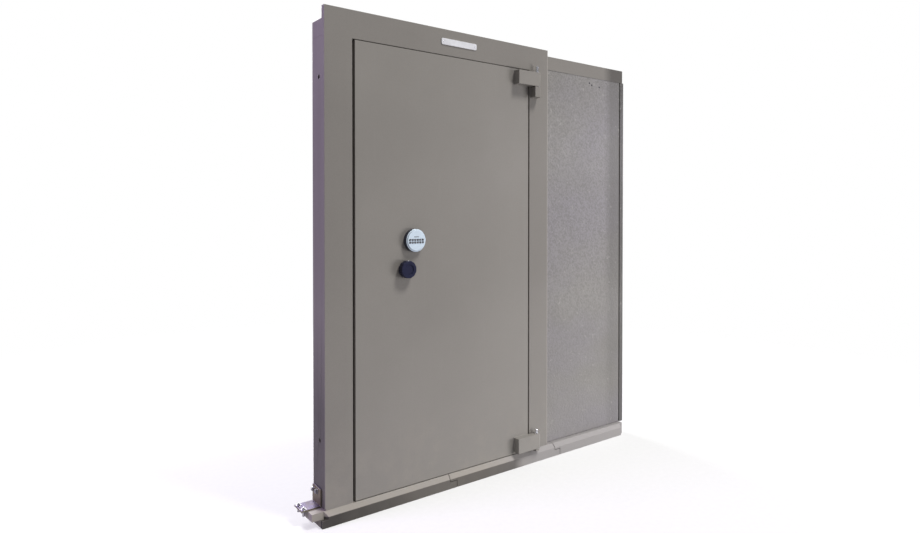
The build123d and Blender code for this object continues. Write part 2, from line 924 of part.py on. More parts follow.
key_centres = [
    (
        keypad_x + (column - (key_columns - 1) / 2) * key_pitch_x,
        keypad_z - keys_below_centre + ((key_rows - 1) / 2 - row) * key_pitch_z,
    )
    for row in range(key_rows)
    for column in range(key_columns)
]

with BuildPart() as keypad_face:
    along_depth(keypad_x, keypad_z, keypad_front, face_back, keypad_radius - housing_wall)
    chamfer(keypad_face.faces().sort_by(Axis.Y)[0].edges(), length=face_bevel)
    with BuildSketch(front_plane(face_back + over)):
        with Locations(*key_centres):
            RectangleRounded(
                key_width + 2 * key_clearance,
                key_height + 2 * key_clearance,
                key_corner + key_clearance,
            )
    extrude(amount=face_back - keypad_front + 2 * over, mode=CUT)
save(keypad_face.part, "keypad_face")

for number, centre in enumerate(key_centres, start=1):
    with BuildPart() as key:
        with BuildSketch(front_plane(key_back)):
            with Locations(centre):
                RectangleRounded(key_width, key_height, key_corner)
        extrude(amount=key_back - keypad_front + key_proud)
        fillet(key.faces().sort_by(Axis.Y)[0].edges(), radius=key_round)
    save(key.part, f"key_{number:02d}")

# ---- knob, spindle and pinion ------------------------------------------------------------------

knob_scallops = 12
scallop_radius = 7.0
scallop_depth = 2.0
knob_bevel = 2.0
knob_dish_radius = 24.0
knob_dish_depth = 3.0
knob_front_wall = 8.0
spindle_tail = 3.0

with BuildPart() as bolt_knob:
    along_depth(knob_x, knob_z, knob_front, knob_back, knob_radius)
    chamfer(bolt_knob.faces().sort_by(Axis.Y)[0].edges(), length=knob_bevel)
    with BuildSketch(front_plane(knob_back + over)):
        with Locations((knob_x, knob_z)):
            with PolarLocations(knob_radius + scallop_radius - scallop_depth, knob_scallops):
                Circle(scallop_radius)
    extrude(amount=knob_back - knob_front + 2 * over, mode=CUT)
    dish_depths = (knob_front - over, knob_front + knob_dish_depth)
    along_depth(knob_x, knob_z, *dish_depths, knob_dish_radius, CUT)
    along_depth(knob_x, knob_z, knob_front + knob_front_wall, knob_back + over, spindle_radius, CUT)
save(bolt_knob.part, "bolt_knob")

pinion_depths = (65.0, 85.0)

with BuildPart() as knob_spindle:
    spindle_depths = (knob_front + knob_front_wall, pinion_depths[1] + spindle_tail)
    along_depth(knob_x, knob_z, *spindle_depths, spindle_radius)
save(knob_spindle.part, "knob_spindle")

base_radius = pitch_radius * cos(radians(pressure_angle))
tip_radius = pitch_radius + gear_module
root_radius = pitch_radius - dedendum
half_tooth = (pi * gear_module / 2 - backlash) / 2


def involute_angle(radius):
    """Angle swept by an involute of the base circle between the base circle and a radius."""
    roll = acos(base_radius / radius)
    return tan(roll) - roll


def flank_point(radius, side, tooth_angle):
    """Point on a tooth's flank at a radius; side is 1 or -1."""
    angle = half_tooth / pitch_radius + involute_angle(pitch_radius) - involute_angle(radius)
    angle = tooth_angle + side * angle
    return (knob_x + radius * cos(angle), knob_z + radius * sin(angle))


# the flanks start just outside the base circle, and each tooth is rooted inside the blank
flank_steps = 4
flank_start = base_radius + 0.01
flank_radii = [
    flank_start + (tip_radius - flank_start) * step / flank_steps for step in range(flank_steps + 1)
]
tooth_root_radius = 0.9 * root_radius
tooth_root_angle = 0.07


def root_point(side, tooth_angle):
    """Point inside the blank, on one side of a tooth's middle; side is 1 or -1."""
    angle = tooth_angle + side * tooth_root_angle
    return (knob_x + tooth_root_radius * cos(angle), knob_z + tooth_root_radius * sin(angle))


with BuildPart() as drive_pinion:
    along_depth(knob_x, knob_z, *pinion_depths, root_radius)
    with BuildSketch(front_plane(pinion_depths[1])):
        for tooth in range(gear_teeth):
            tooth_angle = 2 * pi * tooth / gear_teeth
            roots = [root_point(side, tooth_angle) for side in (-1, 1)]
            rising = [flank_point(radius, 1, tooth_angle) for radius in flank_radii]
            falling = [flank_point(radius, -1, tooth_angle) for radius in reversed(flank_radii)]
            Polygon(roots[1], *rising, *falling, roots[0], align=None)
    extrude(amount=pinion_depths[1] - pinion_depths[0])
    along_depth(knob_x, knob_z, pinion_depths[0] - over, pinion_depths[1] + over, spindle_radius, CUT)
save(drive_pinion.part, "drive_pinion")

# ---- racks, bolt bar and rods ------------------------------------------------------------------

tooth_pitch = pi * gear_module
slope = tan(radians(pressure_angle))
addendum = gear_module
rack_root_depth = 0.5


def rack_tooth(centre, outwards):
    """Outline of one rack tooth that points at the pinion.

    centre is the tooth's middle on the pitch line, outwards the unit vector from the rack to the pinion.
    """
    along = (-outwards[1], outwards[0])
    tip_half = half_tooth - addendum * slope
    root_half = half_tooth + dedendum * slope
    corners = (
        (-root_half, -dedendum - rack_root_depth),
        (-tip_half, addendum),
        (tip_half, addendum),
        (root_half, -dedendum - rack_root_depth),
    )
    points = [
        (centre[0] + a * along[0] + o * outwards[0], centre[1] + a * along[1] + o * outwards[1])
        for a, o in corners
    ]
    Polygon(*points, align=None)


rack_run_out = 10.0
bar_pitch_z = knob_z + pitch_radius
bar_body_bottom = bar_pitch_z + dedendum
bar_right = knob_x + throw + rack_run_out
bar_rack_teeth = range(-1, 7)
rack_overlap = 1.0
bar_right_face = bar_left + bar_thickness
notch_half = lock_bolt_width / 2 + hole_clearance

with BuildPart() as bolt_bar:
    block_between((bar_left, bar_right_face), bar_depths, (bar_bottom, bar_top))
    block_between((bar_right_face - rack_overlap, bar_right), bar_layer, (bar_body_bottom, bar_rack_top))
    with BuildSketch(front_plane(bar_layer[1])):
        for tooth in bar_rack_teeth:
            rack_tooth((knob_x + tooth * tooth_pitch, bar_pitch_z), (0, -1))
    extrude(amount=bar_layer[1] - bar_layer[0])
    for notch_x in (lock_x, lock_x + throw):
        block_between(
            (notch_x - notch_half, notch_x + notch_half),
            (bar_layer[0] - over, bar_layer[1] + over),
            (bar_rack_top - notch_depth, bar_rack_top + over),
            CUT,
        )
save(bolt_bar.part, "bolt_bar")

with BuildPart() as locking_bolts:
    for height in side_bolt_heights:
        round_along_x(side_bolt_tip, bar_left, side_bolt_depth, height, side_bolt_radius)
    chamfer(locking_bolts.faces().filter_by(Axis.X).group_by(Axis.X)[0].edges(), length=bolt_nose)
save(locking_bolts.part, "locking_bolts")



def make_rod(x, side, tip_z, z_direction):
    """Flat rod with a rack at the pinion and a round bolt at its far end.

    side is 1 for the rod on the right of the pinion, z_direction is 1 for the rod that goes up.
    """
    pitch_x = knob_x + side * pitch_radius
    flat_end = knob_z - z_direction * (throw + 2 * rod_grip)
    bolt_root = tip_z - z_direction * rod_bolt_length
    flat_span = sorted((flat_end, bolt_root + z_direction * rod_grip))
    bolt_span = sorted((bolt_root, tip_z))
    with BuildPart() as rod:
        block_between((x - rod_width / 2, x + rod_width / 2), rod_layer, flat_span)
        round_along_z(x, rod_depth, *bolt_span, rod_bolt_radius)
        with BuildSketch(front_plane(rod_layer[1])):
            for tooth in range(rod_tooth_count):
                tooth_z = knob_z - z_direction * (tooth + rod_first_tooth) * tooth_pitch
                rack_tooth((pitch_x, tooth_z), (-side, 0))
        extrude(amount=rod_layer[1] - rod_layer[0])
    return rod.part


save(make_rod(top_rod_x, 1, top_rod_tip, 1), "top_rod")
save(make_rod(bottom_rod_x, -1, bottom_rod_tip, -1), "bottom_rod")

# ---- lock --------------------------------------------------------------------------------------

lock_span = (lock_x - lock_width / 2, lock_x + lock_width / 2)
channel_half = lock_bolt_width / 2 + hole_clearance
channel_depths = (bar_layer[0] - hole_clearance, bar_layer[1] + hole_clearance)

with BuildPart() as lock_body:
    block_between(lock_span, lock_depths, (lock_bottom, lock_top))
    block_between(
        (lock_x - channel_half, lock_x + channel_half),
        channel_depths,
        (lock_bottom - over, lock_channel_top),
        CUT,
    )
save(lock_body.part, "lock_body")

lock_bolt_span = (lock_x - lock_bolt_width / 2, lock_x + lock_bolt_width / 2)
lock_bolt_heights = (lock_bolt_bottom, lock_bolt_bottom + lock_bolt_length)

with BuildPart() as lock_bolt:
    block_between(lock_bolt_span, bar_layer, lock_bolt_heights)
save(lock_bolt.part, "lock_bolt")

with BuildPart() as keypad_lead:
    with BuildLine():
        FilletPolyline(
            (lead_x, y_at(-housing_back_wall), keypad_z),
            (lead_x, y_at(lead_depth), keypad_z),
            (lock_span[1], y_at(lead_depth), keypad_z),
            radius=lead_bend,
        )
    with BuildSketch(front_plane(-housing_back_wall)):
        with Locations((lead_x, keypad_z)):
            Circle(lead_radius)
    sweep()
save(keypad_lead.part, "keypad_lead")
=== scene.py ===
import json
import math

import bmesh
import bpy
from mathutils import Euler, Matrix, Vector, noise


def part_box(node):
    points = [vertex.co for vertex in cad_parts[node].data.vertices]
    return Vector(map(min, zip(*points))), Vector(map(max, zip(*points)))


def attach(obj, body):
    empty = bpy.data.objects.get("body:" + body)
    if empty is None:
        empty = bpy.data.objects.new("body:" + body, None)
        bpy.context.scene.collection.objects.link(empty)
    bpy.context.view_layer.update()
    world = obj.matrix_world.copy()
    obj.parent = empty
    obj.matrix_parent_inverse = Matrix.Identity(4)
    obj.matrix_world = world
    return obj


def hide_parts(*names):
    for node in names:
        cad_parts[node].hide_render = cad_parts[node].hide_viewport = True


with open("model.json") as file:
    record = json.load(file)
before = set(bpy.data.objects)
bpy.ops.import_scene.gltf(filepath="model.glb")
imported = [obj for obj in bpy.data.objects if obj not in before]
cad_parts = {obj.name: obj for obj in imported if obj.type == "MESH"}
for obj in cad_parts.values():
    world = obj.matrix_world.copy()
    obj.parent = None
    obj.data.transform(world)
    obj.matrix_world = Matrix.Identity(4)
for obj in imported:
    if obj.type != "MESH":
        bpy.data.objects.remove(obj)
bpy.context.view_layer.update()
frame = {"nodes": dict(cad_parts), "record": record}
nodes = frame["nodes"]

# ---- node helpers --------------------------------------------------------------------------------


def add_node(tree, kind, inputs=None, **settings):
    """New shader node. Inputs are values or sockets to link, settings are the node's properties."""
    new = tree.nodes.new(kind)
    for name, value in settings.items():
        setattr(new, name, value)
    for name, value in (inputs or {}).items():
        if isinstance(value, bpy.types.NodeSocket):
            tree.links.new(value, new.inputs[name])
        else:
            new.inputs[name].default_value = value
    return new


def new_material(name):
    """Empty material and its tree, shader and coordinates fixed to the object."""
    material = bpy.data.materials.new(name)
    material.use_nodes = True
    tree = material.node_tree
    shader = tree.nodes["Principled BSDF"]
    coords = add_node(tree, "ShaderNodeTexCoord").outputs["Object"]
    return material, tree, shader, coords


def cloud(tree, coords, scale, detail=3.0, roughness=0.5, stretch=(1.0, 1.0, 1.0)):
    """Noise value; scale is in lumps per metre, stretch squeezes it along an axis."""
    mapped = add_node(tree, "ShaderNodeMapping", {"Vector": coords, "Scale": stretch})
    texture = add_node(
        tree,
        "ShaderNodeTexNoise",
        {
            "Vector": mapped.outputs["Vector"],
            "Scale": scale,
            "Detail": detail,
            "Roughness": roughness,
        },
    )
    return texture.outputs["Fac"]


def spread(tree, value, low, high, to_low=0.0, to_high=1.0):
    """Value mapped from one range to another, clamped."""
    ranged = add_node(
        tree,
        "ShaderNodeMapRange",
        {"Value": value, "From Min": low, "From Max": high, "To Min": to_low, "To Max": to_high},
    )
    return ranged.outputs["Result"]


def combine(tree, a, b, operation="MULTIPLY"):
    """Two values combined, by multiplying them unless another operation is named."""
    return add_node(tree, "ShaderNodeMath", {0: a, 1: b}, operation=operation).outputs[0]


def blend_colors(tree, factor, a, b, mode="MIX"):
    """Two colours mixed by a factor."""
    mixed = add_node(tree, "ShaderNodeMix", data_type="RGBA", blend_type=mode)
    for index, value in ((0, factor), (6, a), (7, b)):
        if isinstance(value, bpy.types.NodeSocket):
            tree.links.new(value, mixed.inputs[index])
        elif index == 0:
            mixed.inputs[index].default_value = value
        else:
            mixed.inputs[index].default_value = (*value[:3], 1.0)
    return mixed.outputs[2]


def bump(tree, height, distance, strength=1.0, normal=None):
    """Bump from a height of 0 to 1 that stands for a distance in metres."""
    inputs = {"Height": height, "Distance": distance, "Strength": strength}
    if normal is not None:
        inputs["Normal"] = normal
    return add_node(tree, "ShaderNodeBump", inputs).outputs["Normal"]


def edge_mask(tree, radius):
    """Value that rises to 1 on outer edges and corners within a radius."""
    rounded = add_node(tree, "ShaderNodeBevel", {"Radius": radius}, samples=4)
    flat = add_node(tree, "ShaderNodeNewGeometry")
    agreement = add_node(
        tree,
        "ShaderNodeVectorMath",
        {0: rounded.outputs["Normal"], 1: flat.outputs["Normal"]},
        operation="DOT_PRODUCT",
    )
    return spread(tree, agreement.outputs["Value"], 0.99, 0.80)


def axes_of(tree, coords):
    """X, Y and Z of a point of the object, in metres."""
    axes = add_node(tree, "ShaderNodeSeparateXYZ", {"Vector": coords})
    return axes.outputs["X"], axes.outputs["Y"], axes.outputs["Z"]


def shade(color, amount):
    """Colour made lighter or darker."""
    return tuple(min(1.0, channel * amount) for channel in color)


# ---- materials -----------------------------------------------------------------------------------

DUST = (0.42, 0.37, 0.31)
PAINTED_LOW_LIGHT = (0.42, 0.405, 0.39)
RAIL_RIGHT_TONE = (0.330, 0.316, 0.312)
# Dark colour of the painted shade on the base rail's front and on the frame's left side.
PAINTED_SHADE = (0.045, 0.041, 0.037)
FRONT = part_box("face_plate")[0].y
PLATE_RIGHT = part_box("face_plate")[1].x
JAMB_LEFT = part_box("lock_side_jamb")[0].x
CHANNEL_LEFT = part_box("panel_edge_channel")[0].x

# Where each kind of dirt, wear, painted light and painted shade starts and where it is complete, in metres
# along X or Z.
DUST_Z = (0.45, 0.0)
PAINTED_LOW_LIGHT_Z = (1.1, 0.1)
PAINTED_LOW_LIGHT_X = (-0.7, 0.6)
RAIL_RIGHT_TONE_X = (0.20, 0.55)
PAINTED_SHADE_END_X = (0.46, 0.40)
PAINTED_SHADE_HEAVY_X = (-0.15, -0.60)
PAINTED_SHADE_TOP_Z = (0.0470, 0.0435)
FRAME_SHADE_SIDE_Z = (0.9, 0.45)
FRAME_SHADE_RAIL_X = (1.13, 1.20)
FRAME_SHADE_RAIL_Z = (2.05, 2.09)
PANEL_SHADE_X = (1.14, 1.20)
PANEL_SHADE_Z = (0.4, 1.4)
PANEL_HOLLOW_SHADE_Z = (0.35, 0.90)


def paint(name, color, roughness=0.48, grain=420.0, grain_depth=0.00012, rail_front_shade=0.0, frame_shade=0.0):
    """Sheet metal paint: cloudy colour, fine grain, dust near the foot, scuffs, worn edges, and painted light
    that turns it lighter towards the floor and to the right.

    With its rail option it paints shade on the front of the base rail, which turns a lighter, more neutral
    grey towards its right end. With its frame option it paints shade on the frame's left side towards the
    bottom and on the top rail's right end, and adds a painted highlight along the face plate's right rim.
    """
    material, tree, shader, coords = new_material(name)
    x, y, z = axes_of(tree, coords)
    broad = spread(tree, cloud(tree, coords, 1.6, 4.0), 0.3, 0.7)
    base = blend_colors(tree, broad, shade(color, 0.93), shade(color, 1.06))
    speck = spread(tree, cloud(tree, coords, grain, 2.0), 0.35, 0.65)
    base = blend_colors(tree, combine(tree, speck, 0.35), base, shade(color, 0.78))

    low = spread(tree, z, *DUST_Z)
    patchy = spread(tree, cloud(tree, coords, 9.0, 6.0, 0.65), 0.45, 0.75)
    dust = combine(tree, combine(tree, low, patchy), 0.35)
    base = blend_colors(tree, dust, base, DUST)
    # Painted light: the colour turns lighter towards the floor, and more so to the right.
    low_light = combine(tree, spread(tree, z, *PAINTED_LOW_LIGHT_Z, 0.0, 0.24), spread(tree, x, *PAINTED_LOW_LIGHT_X, 0.4, 1.0))
    base = blend_colors(tree, low_light, base, PAINTED_LOW_LIGHT)

    streaks = cloud(tree, coords, 30.0, 5.0, 0.6, (1.0, 1.0, 0.08))
    scuff = combine(tree, spread(tree, streaks, 0.62, 0.80), 0.14)
    base = blend_colors(tree, scuff, base, shade(color, 1.35))

    if rail_front_shade:
        # Lighter, more neutral grey towards the rail's right end.
        base = blend_colors(tree, spread(tree, x, *RAIL_RIGHT_TONE_X), base, RAIL_RIGHT_TONE)
        # Painted shade on the rail's front face below the nosing, heavier to the left and absent at the right
        # end.
        shaded_run = combine(tree, spread(tree, x, *PAINTED_SHADE_END_X), spread(tree, x, *PAINTED_SHADE_HEAVY_X, 0.68, 1.0))
        outside = combine(tree, shaded_run, spread(tree, y, FRONT, FRONT - 0.001))
        under = combine(tree, spread(tree, z, *PAINTED_SHADE_TOP_Z), outside)
        mottled = spread(tree, cloud(tree, coords, 14.0, 5.0), 0.2, 0.8, 0.88, 1.0)
        base = blend_colors(tree, combine(tree, combine(tree, under, mottled), rail_front_shade), base, PAINTED_SHADE)
    if frame_shade:
        # Painted shade: the frame's left side darkens towards the bottom, and the top rail's right end
        # darkens too.
        behind_plate = spread(tree, y, FRONT, FRONT + 0.006)
        wall = combine(tree, spread(tree, x, JAMB_LEFT + 0.002, JAMB_LEFT), behind_plate)
        side = combine(tree, wall, spread(tree, z, *FRAME_SHADE_SIDE_Z))
        end = combine(tree, spread(tree, x, *FRAME_SHADE_RAIL_X), spread(tree, z, *FRAME_SHADE_RAIL_Z))
        base = blend_colors(tree, combine(tree, combine(tree, side, end, "ADD"), frame_shade), base, PAINTED_SHADE)
        # Painted highlight: a pale line along the face plate's right rim.
        rim_highlight_start = spread(tree, x, PLATE_RIGHT - 0.006, PLATE_RIGHT - 0.003)
        rim_highlight = combine(tree, rim_highlight_start, spread(tree, x, PLATE_RIGHT + 0.0010, PLATE_RIGHT + 0.0005))
        base = blend_colors(tree, combine(tree, rim_highlight, 0.6), base, shade(color, 1.8))

    worn = combine(tree, edge_mask(tree, 0.002), spread(tree, cloud(tree, coords, 55.0, 4.0), 0.40, 0.60))
    base = blend_colors(tree, combine(tree, worn, 0.40), base, shade(color, 1.55))
    tree.links.new(base, shader.inputs["Base Color"])

    smear = spread(tree, cloud(tree, coords, 5.0, 5.0, 0.6), 0.3, 0.7, -0.06, 0.06)
    rough = combine(tree, combine(tree, smear, roughness, "ADD"), combine(tree, dust, 0.5), "ADD")
    tree.links.new(rough, shader.inputs["Roughness"])

    swell = bump(tree, cloud(tree, coords, 2.6, 1.0), 0.0035, 0.12)
    fine = bump(tree, cloud(tree, coords, grain, 3.0, 0.6), grain_depth, 0.8, swell)
    tree.links.new(fine, shader.inputs["Normal"])
    return material


def panel_gloss(name, color):
    """Thick gloss paint with orange peel and runs, bluish patches of painted reflection, and painted shade
    in the peel's hollows and towards the right end.
    """
    material, tree, shader, coords = new_material(name)
    x, _, z = axes_of(tree, coords)
    broad = spread(tree, cloud(tree, coords, 2.2, 4.0), 0.3, 0.7)
    base = blend_colors(tree, broad, shade(color, 0.90), shade(color, 1.08))
    # Painted reflection: bluish patches where the gloss mirrors cool light.
    reflected_blue = (color[0] * 1.00, color[1] * 0.98, color[2] * 1.16)
    blue_reflection = spread(tree, cloud(tree, coords, 1.1, 3.0, 0.5, (1.0, 1.0, 1.8)), 0.42, 0.62)
    base = blend_colors(tree, combine(tree, blue_reflection, 0.6), base, reflected_blue)

    # Painted shade: a darker band towards the panel's right end, stronger higher up, and darker still on the
    # edge channel.
    right = combine(tree, spread(tree, x, *PANEL_SHADE_X), spread(tree, z, *PANEL_SHADE_Z, 0.5, 1.0))
    base = blend_colors(tree, combine(tree, right, 0.60), base, shade(color, 0.45))
    channel_shade = spread(tree, x, CHANNEL_LEFT - 0.004, CHANNEL_LEFT)
    base = blend_colors(tree, combine(tree, channel_shade, 0.65), base, shade(color, 0.22))

    peel = cloud(tree, coords, 95.0, 3.0, 0.6)
    pits = spread(tree, peel, 0.38, 0.58)
    # Painted shade: the orange peel's hollows are darker, more so higher up.
    hollow_shade = spread(tree, z, *PANEL_HOLLOW_SHADE_Z, 0.15, 0.50)
    base = blend_colors(tree, pits, blend_colors(tree, hollow_shade, base, shade(color, 0.60)), base)
    flecks = spread(tree, cloud(tree, coords, 38.0, 2.0), 0.66, 0.74)
    base = blend_colors(tree, combine(tree, flecks, 0.35), base, shade(color, 1.5))
    worn = combine(tree, edge_mask(tree, 0.0015), spread(tree, cloud(tree, coords, 60.0, 3.0), 0.40, 0.60))
    base = blend_colors(tree, combine(tree, worn, 0.4), base, shade(color, 1.5))
    tree.links.new(base, shader.inputs["Base Color"])

    rough = spread(tree, cloud(tree, coords, 12.0, 4.0), 0.3, 0.7, 0.36, 0.46)
    tree.links.new(rough, shader.inputs["Roughness"])
    shader.inputs["Coat Weight"].default_value = 0.10
    shader.inputs["Coat Roughness"].default_value = 0.20

    runs = bump(tree, cloud(tree, coords, 16.0, 3.0, 0.55, (1.0, 1.0, 0.30)), 0.0025, 0.5)
    lumps = bump(tree, peel, 0.0022, 0.9, runs)
    fine = bump(tree, cloud(tree, coords, 260.0, 2.0), 0.0003, 0.5, lumps)
    tree.links.new(fine, shader.inputs["Normal"])
    return material


def metal(
    name, color, roughness, lay=(1.0, 1.0, 1.0), lay_scale=300.0, tint=None, tint_scale=20.0, shine=1.0
):
    """Bare or plated metal with tool marks along the lay, stains and rubbed edges."""
    material, tree, shader, coords = new_material(name)
    marks = cloud(tree, coords, lay_scale, 3.0, 0.6, lay)
    stains = spread(tree, cloud(tree, coords, tint_scale, 5.0, 0.6), 0.35, 0.70)
    base = blend_colors(tree, stains, color, tint or shade(color, 0.78))
    base = blend_colors(tree, combine(tree, edge_mask(tree, 0.0012), 0.6), base, shade(color, 1.2))
    tree.links.new(base, shader.inputs["Base Color"])
    shader.inputs["Metallic"].default_value = shine
    rough = combine(
        tree,
        spread(tree, marks, 0.3, 0.7, roughness * 0.75, roughness * 1.25),
        combine(tree, stains, roughness * 0.3),
        "ADD",
    )
    tree.links.new(rough, shader.inputs["Roughness"])
    tree.links.new(bump(tree, marks, 0.00006, 0.6), shader.inputs["Normal"])
    return material


def moulded(name, color, roughness, grain=900.0, depth=0.00006, coat=0.0, streak=0.12, shine=0.5):
    """Moulded plastic or rubber: fine grain, finger marks and paler rubbed edges."""
    material, tree, shader, coords = new_material(name)
    marks = spread(tree, cloud(tree, coords, 35.0, 4.0, 0.6), 0.4, 0.7)
    base = blend_colors(tree, combine(tree, marks, streak), color, shade(color, 2.2))
    base = blend_colors(tree, combine(tree, edge_mask(tree, 0.0010), 0.35), base, shade(color, 2.6))
    tree.links.new(base, shader.inputs["Base Color"])
    rough = spread(tree, marks, 0.0, 1.0, roughness * 0.85, roughness * 1.2)
    tree.links.new(rough, shader.inputs["Roughness"])
    shader.inputs["Specular IOR Level"].default_value = shine
    shader.inputs["Coat Weight"].default_value = coat
    shader.inputs["Coat Roughness"].default_value = 0.1
    tree.links.new(bump(tree, cloud(tree, coords, grain, 2.0), depth, 0.7), shader.inputs["Normal"])
    return material


def plated(name, up_reflection, upright_reflection, roughness):
    """Zinc plate with a painted reflection: one tint on the faces that look up, another on the upright ones,
    mottled.
    """
    material, tree, shader, coords = new_material(name)
    normal = add_node(tree, "ShaderNodeNewGeometry").outputs["True Normal"]
    lie = add_node(tree, "ShaderNodeSeparateXYZ", {"Vector": normal}).outputs["Z"]
    # Painted reflection: faces that look up take one tint, upright faces another.
    base = blend_colors(tree, spread(tree, lie, 0.3, 0.8), upright_reflection, up_reflection)
    stains = spread(tree, cloud(tree, coords, 30.0, 5.0, 0.6), 0.40, 0.70)
    base = blend_colors(tree, combine(tree, stains, 0.45), base, upright_reflection)
    base = blend_colors(tree, combine(tree, edge_mask(tree, 0.0010), 0.7), base, (0.62, 0.58, 0.60))
    tree.links.new(base, shader.inputs["Base Color"])
    shader.inputs["Metallic"].default_value = 0.55
    tree.links.new(spread(tree, stains, 0.0, 1.0, roughness, roughness * 1.3), shader.inputs["Roughness"])
    marks = cloud(tree, coords, 300.0, 3.0, 0.6, (0.2, 1.0, 1.0))
    tree.links.new(bump(tree, marks, 0.00006, 0.6), shader.inputs["Normal"])
    return material


def silver_front(name, front, side):
    """Satin silver face with fine brushing, whose sides are glossier than its front and carry a dark painted
    shade.
    """
    material, tree, shader, coords = new_material(name)
    brushed = cloud(tree, coords, 500.0, 3.0, 0.6, (0.06, 1.0, 1.0))
    smudge = spread(tree, cloud(tree, coords, 40.0, 4.0), 0.4, 0.7)
    silver = blend_colors(tree, spread(tree, brushed, 0.3, 0.7), shade(front, 0.90), front)
    silver = blend_colors(tree, combine(tree, smudge, 0.15), silver, shade(front, 0.75))
    normal = add_node(tree, "ShaderNodeTexCoord").outputs["Normal"]
    facing = add_node(tree, "ShaderNodeSeparateXYZ", {"Vector": normal}).outputs["Y"]
    sideways = spread(tree, facing, -0.75, -0.35)
    # Painted shade: faces turned away from the front take the dark side colour.
    tree.links.new(blend_colors(tree, sideways, silver, side), shader.inputs["Base Color"])
    tree.links.new(spread(tree, sideways, 0.0, 1.0, 0.15, 0.85), shader.inputs["Metallic"])
    tree.links.new(spread(tree, sideways, 0.0, 1.0, 0.42, 0.22), shader.inputs["Roughness"])
    tree.links.new(bump(tree, brushed, 0.00004, 0.6), shader.inputs["Normal"])
    return material


def barrier(name, color):
    """Cast barrier material: pale matrix with aggregate and pores."""
    material, tree, shader, coords = new_material(name)
    grains = add_node(tree, "ShaderNodeTexVoronoi", {"Vector": coords, "Scale": 160.0})
    stones = spread(tree, grains.outputs["Distance"], 0.15, 0.55)
    base = blend_colors(tree, stones, shade(color, 0.6), color)
    pores = spread(tree, cloud(tree, coords, 220.0, 3.0), 0.62, 0.70)
    base = blend_colors(tree, pores, base, shade(color, 0.3))
    tree.links.new(base, shader.inputs["Base Color"])
    shader.inputs["Roughness"].default_value = 0.9
    tree.links.new(bump(tree, stones, 0.0006, 0.8), shader.inputs["Normal"])
    return material


FRAME_COLOR = (0.236, 0.222, 0.202)
DOOR_COLOR = (0.262, 0.248, 0.226)
RAIL_COLOR = (0.300, 0.276, 0.244)
PANEL_COLOR = (0.264, 0.255, 0.240)

LOOKS = {
    "frame_paint": paint("frame_paint", FRAME_COLOR, 0.50, 300.0, 0.00022, frame_shade=0.66),
    "rail_paint": paint("rail_paint", RAIL_COLOR, 0.52, 340.0, 0.00020, rail_front_shade=1.0),
    "door_paint": paint("door_paint", DOOR_COLOR, 0.46, 460.0, 0.00010),
    "panel_paint": panel_gloss("panel_paint", PANEL_COLOR),
    "barrier_fill": barrier("barrier_fill", (0.45, 0.43, 0.40)),
    "seal_rubber": moulded("seal_rubber", (0.014, 0.014, 0.014), 0.75),
    "bright_pin": metal(
        "bright_pin", (0.96, 0.97, 1.0), 0.24, (1.0, 1.0, 0.1), tint=(0.92, 0.93, 0.97), tint_scale=9.0
    ),
    "bolt_steel": metal("bolt_steel", (0.56, 0.56, 0.58), 0.30, (1.0, 1.0, 0.1)),
    "zinc_plate": plated("zinc_plate", (0.125, 0.098, 0.185), (0.27, 0.235, 0.165), 0.45),
    "guide_brass": metal("guide_brass", (0.72, 0.56, 0.28), 0.32),
    "keypad_silver": silver_front("keypad_silver", (0.74, 0.87, 0.98), (0.10, 0.11, 0.16)),
    "key_plastic": moulded("key_plastic", (0.020, 0.020, 0.030), 0.45, 700.0),
    "knob_coat": moulded("knob_coat", (0.013, 0.015, 0.042), 0.50, 600.0, shine=0.30),
    "lock_case": paint("lock_case", (0.075, 0.078, 0.085), 0.55, 380.0, 0.00020),
    "lead_sheath": moulded("lead_sheath", (0.012, 0.012, 0.012), 0.55),
}
# White of the key figures, and of the painted highlight on the knob's top.
PRINT_AND_HIGHLIGHT_WHITE = moulded("print_and_highlight_white", (0.72, 0.74, 0.78), 0.5, streak=0.0)
SMOKED_LENS = moulded("smoked_lens", (0.05, 0.055, 0.07), 0.12, coat=0.6, streak=0.05)

# Parts shown with a look other than that of their slot in the record.
OWN_LOOKS = {
    "nameplate": metal("nameplate_silver", (0.96, 0.97, 1.0), 0.38, (0.1, 1.0, 1.0), shine=0.35),
    "bracket_bolts": LOOKS["bolt_steel"],
}

for part in frame["record"]["subparts"]:
    look = OWN_LOOKS.get(part["node"], LOOKS[part["material_slot"]])
    mesh = nodes[part["node"]].data
    mesh.materials.clear()
    mesh.materials.append(look)

# ---- softened edges on the carried-over parts ----------------------------------------------------

SOFT_EDGES = {
    "face_plate": 0.0012,
    "door_tray": 0.0008,
    "rear_cover": 0.0006,
    "boltwork_frame": 0.0006,
    "header_box": 0.0010,
    "lock_side_jamb": 0.0010,
    "hinge_side_jamb": 0.0010,
    "base_rail_left": 0.0012,
    "base_rail_middle": 0.0012,
    "base_rail_right": 0.0012,
    "upper_hinge_arm": 0.0015,
    "lower_hinge_arm": 0.0015,
    "upper_hinge_bracket": 0.0012,
    "lower_hinge_bracket": 0.0012,
    "panel_top_rail": 0.0008,
    "panel_edge_channel": 0.0006,
    "floor_bracket": 0.0008,
    "bracket_bolts": 0.0005,
    "threshold": 0.0008,
    "lock_body": 0.0012,
    "bolt_bar": 0.0006,
    "bolt_knob": 0.0006,
}


def soften(piece, width):
    """Small round on a part's sharp edges, as a modifier."""
    weld = piece.modifiers.new("join", "WELD")
    weld.merge_threshold = 0.000005
    rounding = piece.modifiers.new("soft_edges", "BEVEL")
    rounding.width = width
    rounding.segments = 2
    rounding.limit_method = "ANGLE"
    rounding.angle_limit = math.radians(40)
    rounding.use_clamp_overlap = True
    rounding.harden_normals = False


for name, width in SOFT_EDGES.items():
    soften(nodes[name], width)

# ---- mesh helpers --------------------------------------------------------------------------------


